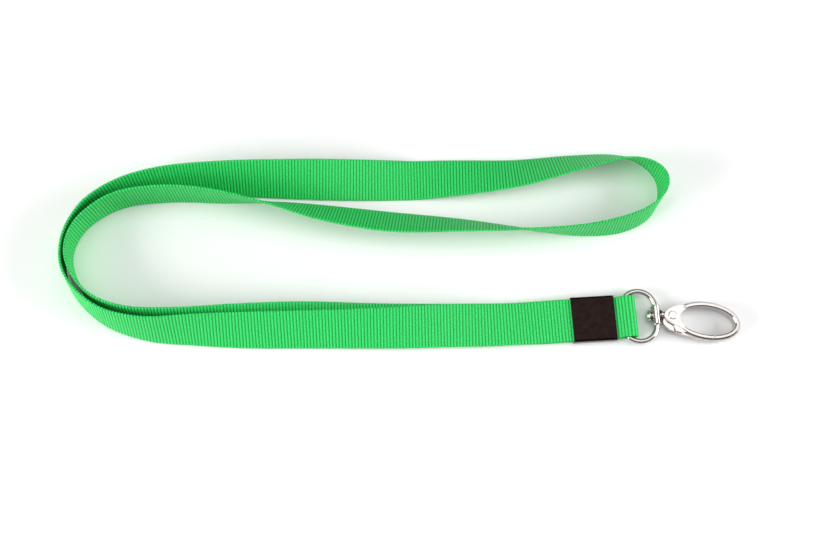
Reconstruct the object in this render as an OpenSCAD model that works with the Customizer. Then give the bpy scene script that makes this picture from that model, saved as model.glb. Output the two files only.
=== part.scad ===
// Lanyard with a crimped webbing neck strap, a swivel D-ring and a sprung oval clasp.
// It lies flat on a table. The clasp points along +X, and +Z is up.

/* [Webbing] */
// Width of the neck strap
web_w = 15; // [12:0.5:15]
// Thickness of the webbing
web_t = 0.9; // [0.6:0.05:0.9]
// Gap between layers of webbing, and between the webbing and the crimp
web_gap = 0.05; // [0.03:0.01:0.1]

/* [Crimp] */
// Length of the crimp along the strap
crimp_len = 15; // [10:0.5:16]
// Sheet thickness of the crimp
crimp_wall = 0.4; // [0.3:0.05:0.6]
// Outer radius of the bends along the crimp's two sides
crimp_bend = 0.8; // [0.65:0.05:1]
// Width of the seam at the back of the crimp
crimp_seam = 0.5; // [0.2:0.1:2]
// Distance from the ring's bar to the crimp
crimp_to_bar = 4.3; // [4:0.1:6]

/* [D-ring] */
// Diameter of the ring's wire
wire_d = 1.9; // [1.4:0.1:2]
// Distance from the ring's bar to the middle of the swivel barrel
ring_reach = 10; // [10:0.5:10.5]
// Half the height of the ring, to the middle of the wire
ring_half = 8.9; // [8.9:0.1:10]
// Radius of the ring's two big bends, to the middle of the wire
ring_bend = 6; // [6:0.1:6.5]

/* [Swivel] */
// Length of the swivel barrel along the ring
barrel_len = 7; // [5:0.5:8]
// Diameter of the swivel barrel
barrel_d = 3.2; // [2.6:0.1:3.6]
// Diameter of the swivel pin's shank
pin_d = 1.8; // [1.2:0.1:2]
// Diameter of the swivel pin's head
pin_head_d = 4; // [3:0.1:4.2]
// Thickness of the swivel pin's head
pin_head_t = 1.5; // [1:0.1:1.6]
// Radial clearance of turning fits
run_clear = 0.05; // [0.02:0.01:0.1]

/* [Clasp] */
// Thickness of the clasp across the gate's two cheeks
clasp_t = 4.7; // [4.2:0.1:5]
// Half the length of the clasp's oval opening
oval_a = 9.7; // [9:0.1:10.5]
// Half the width of the clasp's oval opening
oval_b = 5; // [4.6:0.1:5.4]
// Width of the bow and the gate, seen from above
band_w = 1.9; // [1.6:0.1:2.1]
// Thickness of each cheek of the gate
cheek_t = 0.95; // [0.7:0.05:1]
// Side clearance between the cheeks and the lug
cheek_clear = 0.15; // [0.1:0.05:0.3]
// Diameter of the gate rivet's shank
rivet_d = 1.8; // [1.4:0.1:2]
// Diameter of the gate rivet's heads
rivet_head_d = 3; // [2.6:0.1:3.4]
// Height of the gate rivet's heads
rivet_head_t = 0.35; // [0.2:0.05:0.35]
// Diameter of the gate spring's wire
spring_wire = 0.34; // [0.25:0.01:0.34]
// Turns of the gate spring
spring_turns = 3; // [2:1:3]

/* [Hidden] */
$fn = 48;
tiny = 0.01;

cloth_green = [0.16, 0.72, 0.36];
nickel = [0.80, 0.79, 0.77];
dark_nickel = [0.16, 0.13, 0.12];

// ---- Heights ----
mid_z = clasp_t / 2 + rivet_head_t;
layer_pitch = web_t + web_gap;
layer_z = [for (k = [0:2]) crimp_wall + web_gap + web_t / 2 + k * layer_pitch];
crimp_h = 2 * crimp_wall + 3 * web_t + 4 * web_gap;

// ---- The strap's route ----
// Each station is [x, y, roll, lift], measured from the ring's bar. The roll turns the
// webbing about its own line: 0 lies flat, 90 stands on edge. The lift is the height of
// the webbing's lowest point above the table. The route leaves the crimp in the top
// layer, goes clockwise round the loop and comes back under itself into the crimp.
flat_lift = web_t / 2;
top_lift = layer_z[2] - flat_lift;
low_lift = layer_z[0] - flat_lift;
splice_x = -crimp_to_bar - crimp_len / 2;
strap_route = [
    [splice_x, 0, 0, top_lift], [-20, 0, 0, top_lift], [-25, 0, 0, top_lift], [-45, 0, 2, 1.2],
    [-63, 0.5, 12, 1.1], [-85, 0.5, 32, 0.8], [-110, 1.5, 40, 0.2], [-132, 2.5, 45, 0], [-150, 3.5, 56, 0],
    [-165, 4.5, 67, 0], [-178, 8.5, 75, 0], [-187, 15, 79, 0], [-193.3, 24, 81, 0],
    [-194.8, 33, 81, 0], [-192.2, 42, 84, 0], [-185, 50, 94, 0], [-173, 55.5, 106, 0],
    [-158, 58, 116, 0], [-138, 58, 128, 0], [-116, 57, 143, 0], [-90, 56, 166, 0],
    [-60, 55, 188, 0], [-35, 54.5, 210, 0], [-14, 56.5, 229, 0], [1.5, 57.5, 244, 0],
    [10, 55.5, 255, 0], [15.5, 51, 266, 0], [17, 46, 272, 0], [15.5, 41, 270, 0],
    [10, 35.5, 265, 0], [0, 32, 264, 0], [-14, 31, 273, 0], [-32, 32.5, 287, 0],
    [-55, 35.5, 303, 0], [-80, 38.5, 314, 0], [-103, 43, 308, 0], [-122, 47.5, 290, 0],
    [-141, 51, 271, 0], [-158, 53, 266, 0], [-175, 51.7, 268, 0], [-187, 45, 273, 0],
    [-192.4, 36, 276, 0], [-191.5, 26.5, 276, 0], [-184.5, 16, 278, 0], [-172, 9.5, 285, 0],
    [-155, 6.5, 300, 0], [-135, 5.5, 317, 0], [-112, 4.5, 335, 0], [-85, 2.5, 351, 0],
    [-55, 1, 359, 0], [-32, 0, 360, 0.2], [-21, 0, 360, low_lift], [-7, 0, 360, low_lift]
];
strap_steps = 3;

// ---- Curve tools ----
// A point between p1 and p2 on the smooth curve through p0, p1, p2 and p3.
function between(p0, p1, p2, p3, t) =
    0.5 * (2 * p1 + (p2 - p0) * t + (2 * p0 - 5 * p1 + 4 * p2 - p3) * t * t
           + (3 * p1 - p0 - 3 * p2 + p3) * t * t * t);
function smooth_path(pts, steps) = let (last = len(pts) - 1) [
    for (i = [0 : last - 1]) for (k = [0 : steps - 1])
        between(i > 0 ? pts[i - 1] : 2 * pts[0] - pts[1], pts[i], pts[i + 1],
                i < last - 1 ? pts[i + 2] : 2 * pts[last] - pts[last - 1], k / steps),
    pts[last]
];
function unit(v) = v / norm(v);
function tangents(pts) = let (last = len(pts) - 1)
    [for (i = [0 : last]) unit(pts[min(i + 1, last)] - pts[max(i - 1, 0)])];

// A closed solid through rings that all have the same number of points. Each four-sided
// patch is split in two. From the ring's point other_way on, it is split the other way,
// so that the two faces of a thin band stay parallel.
module skin(rings, other_way = 1000) {
    n = len(rings[0]);
    last = len(rings) - 1;
    sides = [for (i = [0 : last - 1]) for (j = [0 : n - 1]) let (
        a = i * n + j,
        b = i * n + (j + 1) % n
    ) each j < other_way ? [[a, b, b + n], [a, b + n, a + n]] : [[a, b, a + n], [b, b + n, a + n]]];
    start_cap = [[for (j = [0 : n - 1]) n - 1 - j]];
    end_cap = [[for (j = [0 : n - 1]) last * n + j]];
    polyhedron([for (ring = rings) each ring], concat(sides, start_cap, end_cap), convexity = 10);
}

// ---- Strap solid ----
strap_stations = smooth_path(strap_route, strap_steps);
function strap_height(s) =
    web_w / 2 * abs(sin(s[2])) + web_t / 2 * abs(cos(s[2])) + s[3];
strap_line = [for (s = strap_stations) [s[0], s[1], strap_height(s)]];
strap_tangents = tangents(strap_line);
function strap_ring(i) = let (
    along = strap_tangents[i],
    left = unit(cross([0, 0, 1], along)),
    up = cross(along, left),
    roll = strap_stations[i][2],
    across = (cos(roll) * left - sin(roll) * up) * web_w / 2,
    face = (cos(roll) * up + sin(roll) * left) * web_t / 2
) [for (q = [[1, -1], [-1, -1], [-1, 1], [1, 1]]) strap_line[i] + q[0] * across + q[1] * face];
strap_rings = [for (i = [0 : len(strap_line) - 1]) strap_ring(i)];

// ---- Strap end, folded round the ring's bar ----
// The fold's middle line in the XZ plane, from the end inside the crimp to the top layer.
fold_room = 1.55;
fold_r = fold_room + web_t / 2;
fold_x = 0.75;
fold_w = web_w - 0.4;
fold_line = concat(
    [[-crimp_to_bar - crimp_len + 1.5, layer_z[1]], [-crimp_to_bar + 0.3, layer_z[1]],
     [-0.6, mid_z - fold_r]],
    [for (a = [-90 : 15 : 90]) [fold_x + fold_r * cos(a), mid_z + fold_r * sin(a)]],
    [[-0.6, mid_z + fold_r], [-crimp_to_bar + 0.3, layer_z[2]]]
);
function turned(v) = [v[1], -v[0]];
function fold_side(i) = let (
    last = len(fold_line) - 1,
    a = turned(unit(fold_line[min(i + 1, last)] - fold_line[min(i, last - 1)])),
    b = turned(unit(fold_line[max(i, 1)] - fold_line[max(i - 1, 0)])),
    n = unit(a + b)
) n * web_t / 2 / (n * a);
fold_rings = [for (i = [0 : len(fold_line) - 1])
    [for (q = [[-1, -1], [1, -1], [1, 1], [-1, 1]]) let (p = fold_line[i] + q[1] * fold_side(i))
        [p[0], q[0] * fold_w / 2, p[1]]]];

// ---- Ring ----
bend_x = ring_reach - ring_bend;
bend_y = ring_half - ring_bend;
corner_a = 180 - acos(bend_x / ring_bend);
corner_y = bend_y + ring_bend * sin(corner_a);
wire_end_y = pin_d / 2 + run_clear + 0.35;
socket_clear = 0.06;

// ---- Swivel ----
neck_x = ring_reach + barrel_d / 2 + 0.1;
neck_end_x = neck_x + 2;
neck_d = 3.6;
neck_flange = 0.35;
pin_end_x = neck_end_x - 0.1;

// ---- Clasp ----
oval_mid = [ring_reach + 17, -3.4];
oval_tilt = -12;
rivet_at = [ring_reach + 5.2, -0.8];
joint_at = [ring_reach + 18.7, -9.2];
joint_a = 41;
joint_gap = 0.2;
bow_from = -84;
bow_to = 143;
gate_from = -153;
gate_to = -62;
lug_t = clasp_t - 2 * cheek_t - 2 * cheek_clear;
cheek_reach = 4.7;
spring_r = 1.4;
spring_room = 0.25;
spring_pitch = spring_wire + 0.02;
spring_room_h = spring_turns * spring_pitch + spring_wire + 0.3;
lug_low = mid_z - lug_t / 2;

// The oval's edge at angle a, moved outwards by w.
function oval_point(a, w) = let (
    p = [oval_a * cos(a), oval_b * sin(a)],
    n = unit([cos(a) / oval_a, sin(a) / oval_b]),
    q = p + w * n
) oval_mid + [q[0] * cos(oval_tilt) - q[1] * sin(oval_tilt),
              q[0] * sin(oval_tilt) + q[1] * cos(oval_tilt)];

// The band's section as [how far out, how high], rounded on its outer side.
band_edge = 0.35;
band_flat = 0.55;
band_section = [
    [0, -clasp_t / 2 + band_edge], [band_edge, -clasp_t / 2],
    [band_w * band_flat, -clasp_t / 2], [band_w * 0.85, -clasp_t / 2 + 0.5],
    [band_w, -clasp_t / 4], [band_w, clasp_t / 4], [band_w * 0.85, clasp_t / 2 - 0.5],
    [band_w * band_flat, clasp_t / 2], [band_edge, clasp_t / 2], [0, clasp_t / 2 - band_edge]
];
module band(from_a, to_a, step) {
    skin([for (a = [from_a : step : to_a])
        [for (s = band_section) let (p = oval_point(a, s[0])) [p[0], p[1], mid_z + s[1]]]]);
}

// A block that ends the bow (side = 1) or the gate (side = -1) at their slanted joint.
module joint_cut(side) {
    block = 4;
    translate([joint_at[0], joint_at[1], mid_z]) rotate([0, 0, joint_a])
        translate([0, side * (block - joint_gap) / 2, 0]) cube([10, block, 10], center = true);
}

// Each cheek is two plates, measured from the rivet. The foot lies on the lug's side and
// stands out further below than the face, and both end in a tip that follows the band.
band_step = 4;
face_t = 0.4;
tip_in = 0.5;
tip_out = 0.95;
cheek_hub = concat(
    [[-2.9, -0.3], [-2.4, 1.2], [-1, 2.4], [1.2, 3.2]],
    [for (a = [49 : -5 : 24]) cheek_reach * [cos(a), sin(a)]],
    [[2.4, -0.4], [2.7, -2], [3.3, -3.3]]
);
cheek_tip = concat(
    [for (a = [-137 : 8 : -113]) oval_point(a, tip_in) - rivet_at],
    [for (a = [-113 : -8 : -121]) oval_point(a, tip_out) - rivet_at]
);
cheek_face = concat(cheek_hub, cheek_tip, [[3.0, -4.9], [0.9, -3.6], [0.1, -3.1], [-1.7, -1.6]]);
cheek_foot = concat(cheek_hub, [[4.6, -6.0], [2.6, -6.3], [0.5, -5.5], [0.1, -3.4], [-1.9, -1.9]]);
web_outline = [
    [0.4, -5.0], [0.5, -5.6], [2.6, -6.7], [4.9, -7.5], [6.2, -7.6], [6.2, -6.6], [3.4, -5.0],
    [2.2, -4.8]
];
channel_outline = [
    [-6, 6], [-6, -8], [0.1, -8], [0.3, -4.9], [3.2, -4.4], [4.4, -3.4], [8, 6]
];
lug_outline = [
    [-3.3, -1.8], [-3.2, -2.6], [-2.4, -3.7], [-1.2, -4.8], [0.1, -5.5], [0.15, -4.6],
    [1.6, -3.9], [2.4, -2.4], [2.2, -0.5], [4.2, 1.7], [6.0, 2.4], [5.4, 4.0], [3.2, 3.3],
    [1.2, 3.1], [-0.9, 2.3], [-2.2, 1.2], [-2.6, 0]
];

// A small V across the inner edge of the joint between the bow and the gate.
notch = 0.8;
notch_at = -71;
module joint_notch() {
    inner = oval_point(notch_at, 0);
    translate([inner[0], inner[1], mid_z]) rotate([0, 0, 45 + oval_tilt])
        cube([notch, notch, 2 * clasp_t], center = true);
}

// ---- Place of the whole object ----
// The route's own extent gives the middle of the object's box.
strap_pts = [for (ring = strap_rings) each ring];
low_x = min([for (p = strap_pts) p[0]]);
low_y = min([for (p = strap_pts) p[1]]);
high_y = max([for (p = strap_pts) p[1]]);
oval_pts = [for (a = [-60 : 1 : 90]) oval_point(a, band_w)];
high_x = max([for (p = oval_pts) p[0]]);
clasp_low_y = min([for (a = [-120 : 2 : -30]) oval_point(a, band_w)[1]]);
mid_x = (low_x + high_x) / 2;
mid_y = (min(low_y, clasp_low_y) + high_y) / 2;
module placed() { translate([-mid_x, -mid_y, 0]) children(); }

module neck_strap() {
    color(cloth_green) placed() skin(concat(fold_rings, strap_rings), 2);
}

module rounded_bar_outline(w, h, r) {
    square([w - 2 * r, h], center = true);
    square([w, h - 2 * r], center = true);
    for (x = [-1, 1], y = [-1, 1])
        translate([x * (w / 2 - r), y * (h / 2 - r)]) circle(r);
}

module crimp_clamp() {
    inner_w = web_w + 2 * web_gap;
    color(dark_nickel) placed()
        translate([-crimp_to_bar - crimp_len, 0, crimp_h / 2])
            rotate([90, 0, 90]) linear_extrude(crimp_len) difference() {
                rounded_bar_outline(inner_w + 2 * crimp_wall, crimp_h, crimp_bend);
                square([inner_w, crimp_h - 2 * crimp_wall], center = true);
                translate([0, -crimp_h / 2]) square([crimp_seam, crimp_h / 2], center = true);
            }
}

module d_ring() {
    color(nickel) placed() translate([0, 0, mid_z]) for (side = [0, 1]) mirror([0, side, 0]) {
        translate([0, corner_y, 0]) rotate([90, 0, 0]) cylinder(d = wire_d, h = corner_y);
        translate([0, corner_y, 0]) sphere(d = wire_d);
        translate([bend_x, bend_y, 0]) rotate_extrude(angle = corner_a, $fn = 96)
            translate([ring_bend, 0]) circle(d = wire_d, $fn = 32);
        translate([ring_reach, bend_y, 0]) rotate([90, 0, 0])
            cylinder(d = wire_d, h = bend_y - wire_end_y);
    }
}

module swivel_barrel() {
    chamfer = 0.4;
    color(nickel) placed() translate([ring_reach, 0, mid_z]) difference() {
        rotate([90, 0, 0]) {
            cylinder(d = barrel_d, h = barrel_len - 2 * chamfer, center = true);
            for (side = [0, 1]) mirror([0, 0, side])
                translate([0, 0, barrel_len / 2 - chamfer])
                    cylinder(d1 = barrel_d, d2 = barrel_d - 2 * chamfer, h = chamfer);
        }
        for (side = [0, 1]) mirror([0, side, 0]) translate([0, wire_end_y, 0])
            rotate([-90, 0, 0]) cylinder(d = wire_d + 2 * socket_clear, h = barrel_len);
        rotate([0, 90, 0])
            cylinder(d = pin_d + 2 * run_clear, h = barrel_d + 1, center = true);
    }
}

module swivel_pin() {
    head_x = ring_reach - barrel_d / 2 - 0.1 - pin_head_t;
    color(nickel) placed() translate([0, 0, mid_z]) rotate([0, 90, 0]) {
        translate([0, 0, head_x]) cylinder(d1 = pin_head_d - 1, d2 = pin_head_d, h = 0.5);
        translate([0, 0, head_x + 0.5]) cylinder(d = pin_head_d, h = 0.4);
        translate([0, 0, head_x + 0.9])
            cylinder(d1 = pin_head_d, d2 = pin_d + 0.6, h = pin_head_t - 0.9);
        translate([0, 0, head_x + 0.5]) cylinder(d = pin_d, h = pin_end_x - head_x - 0.5);
    }
}

module hook_body() {
    color(nickel) placed() difference() {
        union() {
            difference() {
                band(bow_from, bow_to, band_step);
                joint_cut(1);
                joint_notch();
            }
            translate([rivet_at[0], rivet_at[1], lug_low])
                linear_extrude(lug_t) polygon(lug_outline);
            translate([neck_x, 0, mid_z]) rotate([0, 90, 0]) {
                cylinder(d = neck_d, h = neck_flange);
                cylinder(d = lug_t, h = neck_end_x - neck_x + 1);
            }
        }
        translate([neck_x - tiny, 0, mid_z]) rotate([0, 90, 0])
            cylinder(d = pin_d, h = pin_end_x - neck_x + tiny);
        translate([rivet_at[0], rivet_at[1], 0]) {
            cylinder(d = rivet_d, h = 2 * mid_z);
            translate([0, 0, lug_low - tiny]) {
                cylinder(r = spring_r + spring_wire / 2 + spring_room, h = spring_room_h);
                linear_extrude(spring_room_h)
                    polygon([[-0.3, 0], [-1.6, -8], [6, -8], [0.9, 0]]);
            }
        }
    }
}

module cheek() {
    translate([0, 0, clasp_t / 2 - cheek_t]) linear_extrude(cheek_t - face_t / 2)
        polygon(cheek_foot);
    translate([0, 0, clasp_t / 2 - face_t]) linear_extrude(face_t) polygon(cheek_face);
}

// The gate is a channel: its web is the band, and its cheeks lie above and below the lug.
module gate_lever() {
    color(nickel) placed() difference() {
        union() {
            band(gate_from, gate_to, band_step);
            translate([rivet_at[0], rivet_at[1], mid_z])
                for (side = [0, 1]) mirror([0, 0, side])
                    cheek();
            translate([rivet_at[0], rivet_at[1], lug_low - cheek_clear])
                linear_extrude(clasp_t - 2 * cheek_t) polygon(web_outline);
        }
        joint_notch();
        joint_cut(-1);
        // Between the cheeks there is room for the lug, which stays behind as they turn.
        translate([rivet_at[0], rivet_at[1], mid_z - clasp_t / 2 + cheek_t])
            linear_extrude(clasp_t - 2 * cheek_t) polygon(channel_outline);
        translate([rivet_at[0], rivet_at[1], 0])
            cylinder(d = rivet_d + 2 * run_clear, h = 2 * mid_z);
    }
}

module gate_rivet() {
    color(nickel) placed() translate([rivet_at[0], rivet_at[1], 0]) {
        cylinder(d = rivet_d, h = 2 * mid_z);
        for (side = [0, 1]) translate([0, 0, side * 2 * mid_z]) mirror([0, 0, side])
            cylinder(d1 = rivet_head_d - 0.5, d2 = rivet_head_d, h = rivet_head_t - 0.02);
    }
}

module gate_spring() {
    start_z = lug_low + spring_wire / 2 + 0.1;
    turn_a = 360 * spring_turns;
    coil = [for (a = [0 : 20 : turn_a])
        [spring_r * cos(a), spring_r * sin(a), start_z + spring_pitch * a / 360]];
    leg_in = [[spring_r, -3.9, start_z], [spring_r, -2, start_z], [spring_r, -0.8, start_z]];
    leg_out = [[spring_r, 0.8, start_z + spring_pitch * spring_turns]];
    wire = concat(leg_in, coil, leg_out);
    along = tangents(wire);
    color(nickel) placed() translate([rivet_at[0], rivet_at[1], 0])
        skin([for (i = [0 : len(wire) - 1]) let (
            side = unit(cross([0, 0, 1], along[i])),
            up = cross(along[i], side)
        ) [for (a = [0 : 45 : 315]) wire[i] + spring_wire / 2 * (side * cos(a) - up * sin(a))]]);
}

neck_strap();
crimp_clamp();
d_ring();
swivel_barrel();
swivel_pin();
hook_body();
gate_lever();
gate_rivet();
gate_spring();
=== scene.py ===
# Looks of the lanyard: ribbed green webbing, a nickel crimp painted near-black for its dark
# reflection and a bright nickel swivel clasp.
# Lengths are in metres. The strap's route is written in millimetres, measured from the
# ring's bar, and is the same route as the CAD strap's.
import math

import bpy
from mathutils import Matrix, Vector


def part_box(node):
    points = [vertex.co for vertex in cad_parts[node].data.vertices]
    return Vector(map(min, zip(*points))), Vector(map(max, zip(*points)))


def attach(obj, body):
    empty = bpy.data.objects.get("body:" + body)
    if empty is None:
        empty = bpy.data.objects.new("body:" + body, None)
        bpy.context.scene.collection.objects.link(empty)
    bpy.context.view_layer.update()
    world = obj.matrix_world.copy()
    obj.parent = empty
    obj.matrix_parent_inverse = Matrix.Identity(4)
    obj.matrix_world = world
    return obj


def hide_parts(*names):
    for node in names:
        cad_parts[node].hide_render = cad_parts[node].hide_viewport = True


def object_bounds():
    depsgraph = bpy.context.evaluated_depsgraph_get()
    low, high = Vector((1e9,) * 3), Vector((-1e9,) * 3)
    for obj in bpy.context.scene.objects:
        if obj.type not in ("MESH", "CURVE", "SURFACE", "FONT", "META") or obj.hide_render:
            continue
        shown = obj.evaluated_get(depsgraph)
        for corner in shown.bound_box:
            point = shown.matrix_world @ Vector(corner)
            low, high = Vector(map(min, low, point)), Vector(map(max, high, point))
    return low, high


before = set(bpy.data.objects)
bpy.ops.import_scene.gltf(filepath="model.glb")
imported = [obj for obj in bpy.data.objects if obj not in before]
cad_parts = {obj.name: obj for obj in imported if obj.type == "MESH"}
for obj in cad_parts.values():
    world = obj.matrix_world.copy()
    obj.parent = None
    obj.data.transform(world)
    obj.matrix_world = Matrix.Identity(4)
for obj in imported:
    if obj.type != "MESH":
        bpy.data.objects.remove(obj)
cad_low, cad_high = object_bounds()

MM = 0.001

# ---- Sizes shared with the CAD model ----
WEB_W = 15 * MM
WEB_T = 0.9 * MM
LAYER_PITCH = 0.95 * MM
FIRST_LAYER_Z = 0.9 * MM
CRIMP_TO_BAR = 4.3 * MM
CRIMP_LEN = 15 * MM
FOLD_W = 14.6 * MM
FOLD_ROOM = 1.55 * MM
FOLD_X = 0.75 * MM
# The folded end starts inside the crimp's far edge, is level until just past its near edge,
# and has spread to the bend's height at BEND_X, which is measured from the bar.
FOLD_END_IN = 1.5 * MM
LEVEL_PAST_CRIMP = 0.3 * MM
BEND_X = -0.6 * MM
BEND_STEP = 10

crimp_low, crimp_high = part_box("crimp_clamp")
ring_low, ring_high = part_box("d_ring")
BAR = Vector((
    crimp_high[0] + CRIMP_TO_BAR,
    (crimp_low[1] + crimp_high[1]) / 2,
    (ring_low[2] + ring_high[2]) / 2,
))

# ---- The strap's route: x, y, roll and lift. The roll is in degrees and the rest in mm ----
# The lift is the height of the webbing's lowest point.
TOP_LIFT = 2.35
LOW_LIFT = 0.45
ROUTE = [
    (-11.8, 0, 0, TOP_LIFT), (-20, 0, 0, TOP_LIFT), (-25, 0, 0, TOP_LIFT), (-45, 0, 2, 1.2),
    (-63, 0.5, 12, 1.1), (-85, 0.5, 32, 0.8), (-110, 1.5, 40, 0.2), (-132, 2.5, 45, 0),
    (-150, 3.5, 56, 0), (-165, 4.5, 67, 0), (-178, 8.5, 75, 0), (-187, 15, 79, 0),
    (-193.3, 24, 81, 0), (-194.8, 33, 81, 0), (-192.2, 42, 84, 0), (-185, 50, 94, 0),
    (-173, 55.5, 106, 0), (-158, 58, 116, 0), (-138, 58, 128, 0), (-116, 57, 143, 0),
    (-90, 56, 166, 0), (-60, 55, 188, 0), (-35, 54.5, 210, 0), (-14, 56.5, 229, 0),
    (1.5, 57.5, 244, 0), (10, 55.5, 255, 0), (15.5, 51, 266, 0), (17, 46, 272, 0),
    (15.5, 41, 270, 0), (10, 35.5, 265, 0), (0, 32, 264, 0), (-14, 31, 273, 0),
    (-32, 32.5, 287, 0), (-55, 35.5, 303, 0), (-80, 38.5, 314, 0), (-103, 43, 308, 0),
    (-122, 47.5, 290, 0), (-141, 51, 271, 0), (-158, 53, 266, 0), (-175, 51.7, 268, 0),
    (-187, 45, 273, 0), (-192.4, 36, 276, 0), (-191.5, 26.5, 276, 0), (-184.5, 16, 278, 0),
    (-172, 9.5, 285, 0), (-155, 6.5, 300, 0), (-135, 5.5, 317, 0), (-112, 4.5, 335, 0),
    (-85, 2.5, 351, 0), (-55, 1, 359, 0), (-32, 0, 360, 0.2), (-21, 0, 360, LOW_LIFT),
    (-7, 0, 360, LOW_LIFT),
]
CURVE_STEPS = 16

# ---- Weave ----
RIB_PITCH = 1.1 * MM
SAMPLES_PER_RIB = 6
RIB_DEPTH = 0.17 * MM
SELVEDGE_DEPTH = 0.22 * MM
RIB_ROUNDNESS = 0.8
# Where points sit across the webbing, from -1 to 1, and how thick it is there.
ACROSS = [
    (-1.0, 0.30), (-0.985, 0.72), (-0.955, 0.95), (-0.90, 1.0), (-0.45, 1.0), (0.0, 1.0),
    (0.45, 1.0), (0.90, 1.0), (0.955, 0.95), (0.985, 0.72), (1.0, 0.30),
]


def catmull(p0, p1, p2, p3, t):
    """A number between p1 and p2 on the smooth curve through all four."""
    return 0.5 * (
        2 * p1 + (p2 - p0) * t + (2 * p0 - 5 * p1 + 4 * p2 - p3) * t * t
        + (3 * p1 - p0 - 3 * p2 + p3) * t * t * t
    )


def route_stations():
    """The route as (x, y, roll, lift), with CURVE_STEPS stations for each stretch."""
    first = tuple(2 * a - b for a, b in zip(ROUTE[0], ROUTE[1]))
    last = tuple(2 * a - b for a, b in zip(ROUTE[-1], ROUTE[-2]))
    points = [first] + ROUTE + [last]
    stations = []
    for i in range(1, len(points) - 2):
        for k in range(CURVE_STEPS):
            t = k / CURVE_STEPS
            four = zip(points[i - 1], points[i], points[i + 1], points[i + 2])
            stations.append(tuple(catmull(*values, t) for values in four))
    stations.append(ROUTE[-1])
    return stations


def run_sections():
    """The loose run as (centre, across, face, half width): unit vectors for the last two."""
    stations = route_stations()
    centres = []
    for x, y, roll, lift in stations:
        r = math.radians(roll)
        z = WEB_W / 2 * abs(math.sin(r)) + WEB_T / 2 * abs(math.cos(r)) + lift * MM
        centres.append(Vector((BAR.x + x * MM, BAR.y + y * MM, z)))
    sections = []
    last = len(centres) - 1
    for i, centre in enumerate(centres):
        along = (centres[min(i + 1, last)] - centres[max(i - 1, 0)]).normalized()
        left = Vector((0, 0, 1)).cross(along).normalized()
        up = along.cross(left)
        r = math.radians(stations[i][2])
        across = left * math.cos(r) - up * math.sin(r)
        face = up * math.cos(r) + left * math.sin(r)
        sections.append((centre, across, face, WEB_W / 2))
    return sections


def fold_sections():
    """The end folded round the ring's bar, from inside the crimp to the top layer."""
    radius = FOLD_ROOM + WEB_T / 2
    middle_z = FIRST_LAYER_Z + LAYER_PITCH
    top_z = FIRST_LAYER_Z + 2 * LAYER_PITCH
    level_to = -CRIMP_TO_BAR + LEVEL_PAST_CRIMP
    line = [
        (-CRIMP_TO_BAR - CRIMP_LEN + FOLD_END_IN, middle_z),
        (level_to, middle_z),
        (BEND_X, BAR.z - radius),
    ]
    for degrees in range(-90, 91, BEND_STEP):
        a = math.radians(degrees)
        line.append((FOLD_X + radius * math.cos(a), BAR.z + radius * math.sin(a)))
    line += [(BEND_X, BAR.z + radius), (level_to, top_z)]
    sections = []
    last = len(line) - 1
    for i, (x, z) in enumerate(line):
        ahead = line[min(i + 1, last)]
        behind = line[max(i - 1, 0)]
        along = Vector((ahead[0] - behind[0], 0, ahead[1] - behind[1])).normalized()
        face = Vector((along.z, 0, -along.x))
        centre = Vector((BAR.x + x, BAR.y, z))
        sections.append((centre, Vector((0, -1, 0)), face, FOLD_W / 2))
    return sections


def resample(sections, step):
    """Sections at equal distances along the strap, as (distance, section)."""
    evened = []
    travelled = 0.0
    wanted = 0.0
    for a, b in zip(sections, sections[1:]):
        gap = (b[0] - a[0]).length
        while gap > 0 and wanted <= travelled + gap:
            t = (wanted - travelled) / gap
            across = a[1].lerp(b[1], t).normalized()
            face = a[2].lerp(b[2], t).normalized()
            half = a[3] + (b[3] - a[3]) * t
            evened.append((wanted, (a[0].lerp(b[0], t), across, face, half)))
            wanted += step
        travelled += gap
    return evened, travelled


def make_strap():
    """The ribbed webbing as one closed mesh, with distance and width as its UV map."""
    sections = fold_sections() + run_sections()
    evened, length = resample(sections, RIB_PITCH / SAMPLES_PER_RIB)
    vertices = []
    distances = []
    widths = []
    for distance, (centre, across, face, half) in evened:
        rib = abs(math.sin(math.pi * distance / RIB_PITCH)) ** RIB_ROUNDNESS
        thick = WEB_T / 2 - RIB_DEPTH * (1 - rib)
        reach = half - SELVEDGE_DEPTH * (1 - rib)
        profile = [(v, -k) for v, k in ACROSS] + [(v, k) for v, k in reversed(ACROSS)]
        for v, k in profile:
            vertices.append(centre + across * v * reach + face * k * thick)
            distances.append(distance)
            widths.append(v * half)
    n = 2 * len(ACROSS)
    rows = len(evened)
    faces = []
    for i in range(rows - 1):
        for j in range(n):
            a = i * n + j
            b = i * n + (j + 1) % n
            faces.append((a, b, b + n, a + n))
    faces.append(tuple(reversed(range(n))))
    faces.append(tuple((rows - 1) * n + j for j in range(n)))
    mesh = bpy.data.meshes.new("strap_webbing")
    mesh.from_pydata(vertices, [], faces)
    uv = mesh.uv_layers.new(name="weave")
    for loop in mesh.loops:
        i = loop.vertex_index
        uv.data[loop.index].uv = (distances[i], widths[i])
    mesh.shade_smooth()
    strap = bpy.data.objects.new("strap_webbing", mesh)
    bpy.context.scene.collection.objects.link(strap)
    return strap, length
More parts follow.
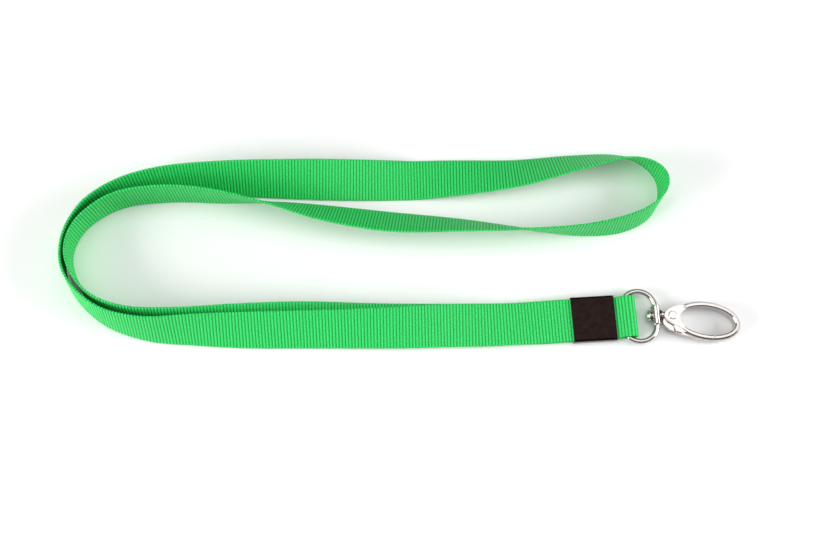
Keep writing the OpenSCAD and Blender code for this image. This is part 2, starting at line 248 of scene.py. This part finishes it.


# ---- Materials ----
# The groove and crest greens paint shade into the ribs' grooves and a highlight onto their
# crests; the body green is the dye.
GROOVE_PAINTED_SHADE = (0.004, 0.27, 0.040)
BODY_GREEN = (0.012, 0.62, 0.095)
CREST_PAINTED_HIGHLIGHT = (0.040, 0.84, 0.19)
THREAD_SHADE = (0.62, 0.62, 0.62)
THREAD_SCALE = (1300, 2600, 1)
THREAD_BUMP = 0.4
THREAD_HEIGHT = 0.05 * MM
NICKEL = (0.50, 0.465, 0.445)
NICKEL_WORN = (0.60, 0.565, 0.545)
# The crimp is shiny nickel; its near-black colour is a painted dark reflection, with a random
# tone between the two.
PAINTED_DARK_REFLECTION = (0.010, 0.006, 0.005)
PAINTED_DARK_REFLECTION_WORN = (0.016, 0.010, 0.009)
SPRING_STEEL = (0.50, 0.50, 0.52)
SPRING_STEEL_WORN = (0.58, 0.58, 0.60)
METAL_BUMP = 0.08
METAL_HEIGHT = 0.03 * MM


def new_material(name):
    """A node material, and its shader, nodes and links."""
    material = bpy.data.materials.new(name)
    material.use_nodes = True
    nodes = material.node_tree.nodes
    return material, nodes["Principled BSDF"], nodes, material.node_tree.links


def set_ramp(ramp, stops):
    """Gives a colour ramp its stops, as (place, colour)."""
    elements = ramp.color_ramp.elements
    while len(elements) < len(stops):
        elements.new(0.5)
    for element, (place, colour) in zip(elements, stops):
        element.position = place
        element.color = (*colour, 1)


def math_node(nodes, links, operation, first, second=None):
    """A Math node on another node's output, and its own output."""
    node = nodes.new("ShaderNodeMath")
    node.operation = operation
    links.new(first, node.inputs[0])
    if second is not None:
        node.inputs[1].default_value = second
    return node.outputs["Value"]


def webbing_material():
    """Green ribbed polyester: painted shade in the grooves, a painted highlight on the crests
    and fine threads across them.
    """
    material, shader, nodes, links = new_material("ribbed_webbing")
    uv = nodes.new("ShaderNodeUVMap")
    uv.uv_map = "weave"
    apart = nodes.new("ShaderNodeSeparateXYZ")
    links.new(uv.outputs["UV"], apart.inputs["Vector"])
    turn = math_node(nodes, links, "MULTIPLY", apart.outputs["X"], math.pi / RIB_PITCH)
    wave = math_node(nodes, links, "SINE", turn)
    rib = math_node(nodes, links, "ABSOLUTE", wave)
    # Painted shade and highlight: the colour darkens into the grooves and lightens onto the
    # crests.
    ramp = nodes.new("ShaderNodeValToRGB")
    set_ramp(ramp, [(0.05, GROOVE_PAINTED_SHADE), (0.55, BODY_GREEN), (1.0, CREST_PAINTED_HIGHLIGHT)])
    links.new(rib, ramp.inputs["Fac"])
    # The threads lie along the strap, so their grain is finer across it than along it.
    threads = nodes.new("ShaderNodeMapping")
    threads.inputs["Scale"].default_value = THREAD_SCALE
    links.new(uv.outputs["UV"], threads.inputs["Vector"])
    grain = nodes.new("ShaderNodeTexNoise")
    grain.inputs["Scale"].default_value = 1
    grain.inputs["Detail"].default_value = 3
    links.new(threads.outputs["Vector"], grain.inputs["Vector"])
    shade = nodes.new("ShaderNodeValToRGB")
    set_ramp(shade, [(0.30, THREAD_SHADE), (0.70, (1.0, 1.0, 1.0))])
    links.new(grain.outputs["Fac"], shade.inputs["Fac"])
    # The dye with its painted rib shade and highlight, multiplied by the thread grain.
    dye_and_painted_rib_shade = nodes.new("ShaderNodeMixRGB")
    dye_and_painted_rib_shade.blend_type = "MULTIPLY"
    dye_and_painted_rib_shade.inputs["Fac"].default_value = 1
    links.new(ramp.outputs["Color"], dye_and_painted_rib_shade.inputs["Color1"])
    links.new(shade.outputs["Color"], dye_and_painted_rib_shade.inputs["Color2"])
    links.new(dye_and_painted_rib_shade.outputs["Color"], shader.inputs["Base Color"])
    bump = nodes.new("ShaderNodeBump")
    bump.inputs["Strength"].default_value = THREAD_BUMP
    bump.inputs["Distance"].default_value = THREAD_HEIGHT
    links.new(grain.outputs["Fac"], bump.inputs["Height"])
    links.new(bump.outputs["Normal"], shader.inputs["Normal"])
    shader.inputs["Roughness"].default_value = 0.6
    shader.inputs["Specular IOR Level"].default_value = 0.35
    shader.inputs["Sheen Weight"].default_value = 0.12
    shader.inputs["Sheen Roughness"].default_value = 0.4
    shader.inputs["Sheen Tint"].default_value = (0.4, 1.0, 0.6, 1)
    return material


def metal_material(name, colour, worn, rough_range, scale):
    """Plated metal: its colour and roughness vary a little over the surface."""
    material, shader, nodes, links = new_material(name)
    position = nodes.new("ShaderNodeTexCoord")
    noise = nodes.new("ShaderNodeTexNoise")
    noise.inputs["Scale"].default_value = scale
    noise.inputs["Detail"].default_value = 4
    links.new(position.outputs["Object"], noise.inputs["Vector"])
    tint = nodes.new("ShaderNodeValToRGB")
    set_ramp(tint, [(0.35, colour), (0.75, worn)])
    links.new(noise.outputs["Fac"], tint.inputs["Fac"])
    links.new(tint.outputs["Color"], shader.inputs["Base Color"])
    rough = nodes.new("ShaderNodeMapRange")
    rough.inputs["To Min"].default_value = rough_range[0]
    rough.inputs["To Max"].default_value = rough_range[1]
    links.new(noise.outputs["Fac"], rough.inputs["Value"])
    links.new(rough.outputs["Result"], shader.inputs["Roughness"])
    bump = nodes.new("ShaderNodeBump")
    bump.inputs["Strength"].default_value = METAL_BUMP
    bump.inputs["Distance"].default_value = METAL_HEIGHT
    links.new(noise.outputs["Fac"], bump.inputs["Height"])
    links.new(bump.outputs["Normal"], shader.inputs["Normal"])
    shader.inputs["Metallic"].default_value = 1
    return material


nickel = metal_material("nickel_plate", NICKEL, NICKEL_WORN, (0.10, 0.22), 900)
# The crimp's near-black base colour is a painted dark reflection, not the plate's own colour.
nickel_painted_dark = metal_material("nickel_painted_dark_reflection", PAINTED_DARK_REFLECTION, PAINTED_DARK_REFLECTION_WORN, (0.18, 0.26), 500)
spring_steel = metal_material("spring_wire", SPRING_STEEL, SPRING_STEEL_WORN, (0.25, 0.38), 1500)

NODE_MATERIALS = {
    "crimp_clamp": nickel_painted_dark,
    "d_ring": nickel,
    "swivel_barrel": nickel,
    "swivel_pin": nickel,
    "hook_body": nickel,
    "gate_lever": nickel,
    "gate_rivet": nickel,
    "gate_spring": spring_steel,
}
SMOOTH_BELOW = math.radians(35)
for name, material in NODE_MATERIALS.items():
    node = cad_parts[name]
    for material_slot in node.material_slots:
        material_slot.material = material
    node.data.shade_smooth()
    node.data.set_sharp_from_angle(angle=SMOOTH_BELOW)

strap, strap_length = make_strap()
strap.data.materials.append(webbing_material())
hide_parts("neck_strap")
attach(strap, "strap")

# ---- Floor ----
FLOOR_SIZE = 20
FLOOR_GAP = 0.1 * MM
bpy.ops.mesh.primitive_plane_add(size=FLOOR_SIZE, location=(0, 0, cad_low.z - FLOOR_GAP))
floor = bpy.context.object
floor.name = "floor"
floor_material, floor_shader, _, _ = new_material("pale_floor")
floor_shader.inputs["Base Color"].default_value = (0.90, 0.90, 0.90, 1)
floor_shader.inputs["Roughness"].default_value = 0.8
floor.data.materials.append(floor_material)


# ---- Light ----
LIGHT_TARGET = Vector((0, 0, 0))
# Name, place and size in metres, and power in watts.
LIGHTS = [
    ("left_box", (-0.80, -0.25, 0.30), (0.5, 0.5), 8.0),
    ("right_box", (0.80, -0.10, 0.35), (0.5, 0.5), 6.5),
    ("top_box", (0.0, 0.10, 0.95), (0.9, 0.6), 3.0),
]
# Brightness of the room by height, from the horizon at 0 to straight up at 1.
ROOM_SHADES = [(0.10, (0.9, 0.9, 0.9)), (0.20, (0.35, 0.35, 0.35)), (0.75, (1, 1, 1))]
ROOM_STRENGTH = 0.38


def area_light(name, place, size, power):
    """A rectangular light at a place, turned towards LIGHT_TARGET."""
    light = bpy.data.lights.new(name, "AREA")
    light.shape = "RECTANGLE"
    light.size = size[0]
    light.size_y = size[1]
    light.energy = power
    lamp = bpy.data.objects.new(name, light)
    lamp.location = place
    aim = LIGHT_TARGET - Vector(place)
    lamp.rotation_euler = aim.to_track_quat("-Z", "Y").to_euler()
    bpy.context.scene.collection.objects.link(lamp)


for lamp_name, lamp_place, lamp_size, lamp_power in LIGHTS:
    area_light(lamp_name, lamp_place, lamp_size, lamp_power)

# The room is white above, pale at the horizon and darker between them, for the metal.
world = bpy.data.worlds.new("studio")
world.use_nodes = True
world_nodes = world.node_tree.nodes
world_links = world.node_tree.links
direction = world_nodes.new("ShaderNodeTexCoord")
height = world_nodes.new("ShaderNodeSeparateXYZ")
world_links.new(direction.outputs["Generated"], height.inputs["Vector"])
room = world_nodes.new("ShaderNodeValToRGB")
set_ramp(room, ROOM_SHADES)
world_links.new(height.outputs["Z"], room.inputs["Fac"])
background = world_nodes["Background"]
world_links.new(room.outputs["Color"], background.inputs["Color"])
background.inputs["Strength"].default_value = ROOM_STRENGTH
bpy.context.scene.world = world
bpy.context.scene.view_settings.view_transform = "Standard"

# ---- Camera ----
CAMERA_PLACE = Vector((0.00042, -0.10277, 0.35933))
CAMERA_TARGET = Vector((0.00613, -0.00666, 0))
CAMERA_ANGLE = 43
SENSOR_WIDTH = 36
CLIP_START = 0.01
camera_data = bpy.data.cameras.new("camera")
camera_data.sensor_width = SENSOR_WIDTH
camera_data.lens = SENSOR_WIDTH / 2 / math.tan(math.radians(CAMERA_ANGLE / 2))
camera_data.clip_start = CLIP_START
camera = bpy.data.objects.new("camera", camera_data)
camera.location = CAMERA_PLACE
camera.rotation_euler = (CAMERA_TARGET - CAMERA_PLACE).to_track_quat("-Z", "Y").to_euler()
bpy.context.scene.collection.objects.link(camera)
bpy.context.scene.camera = camera
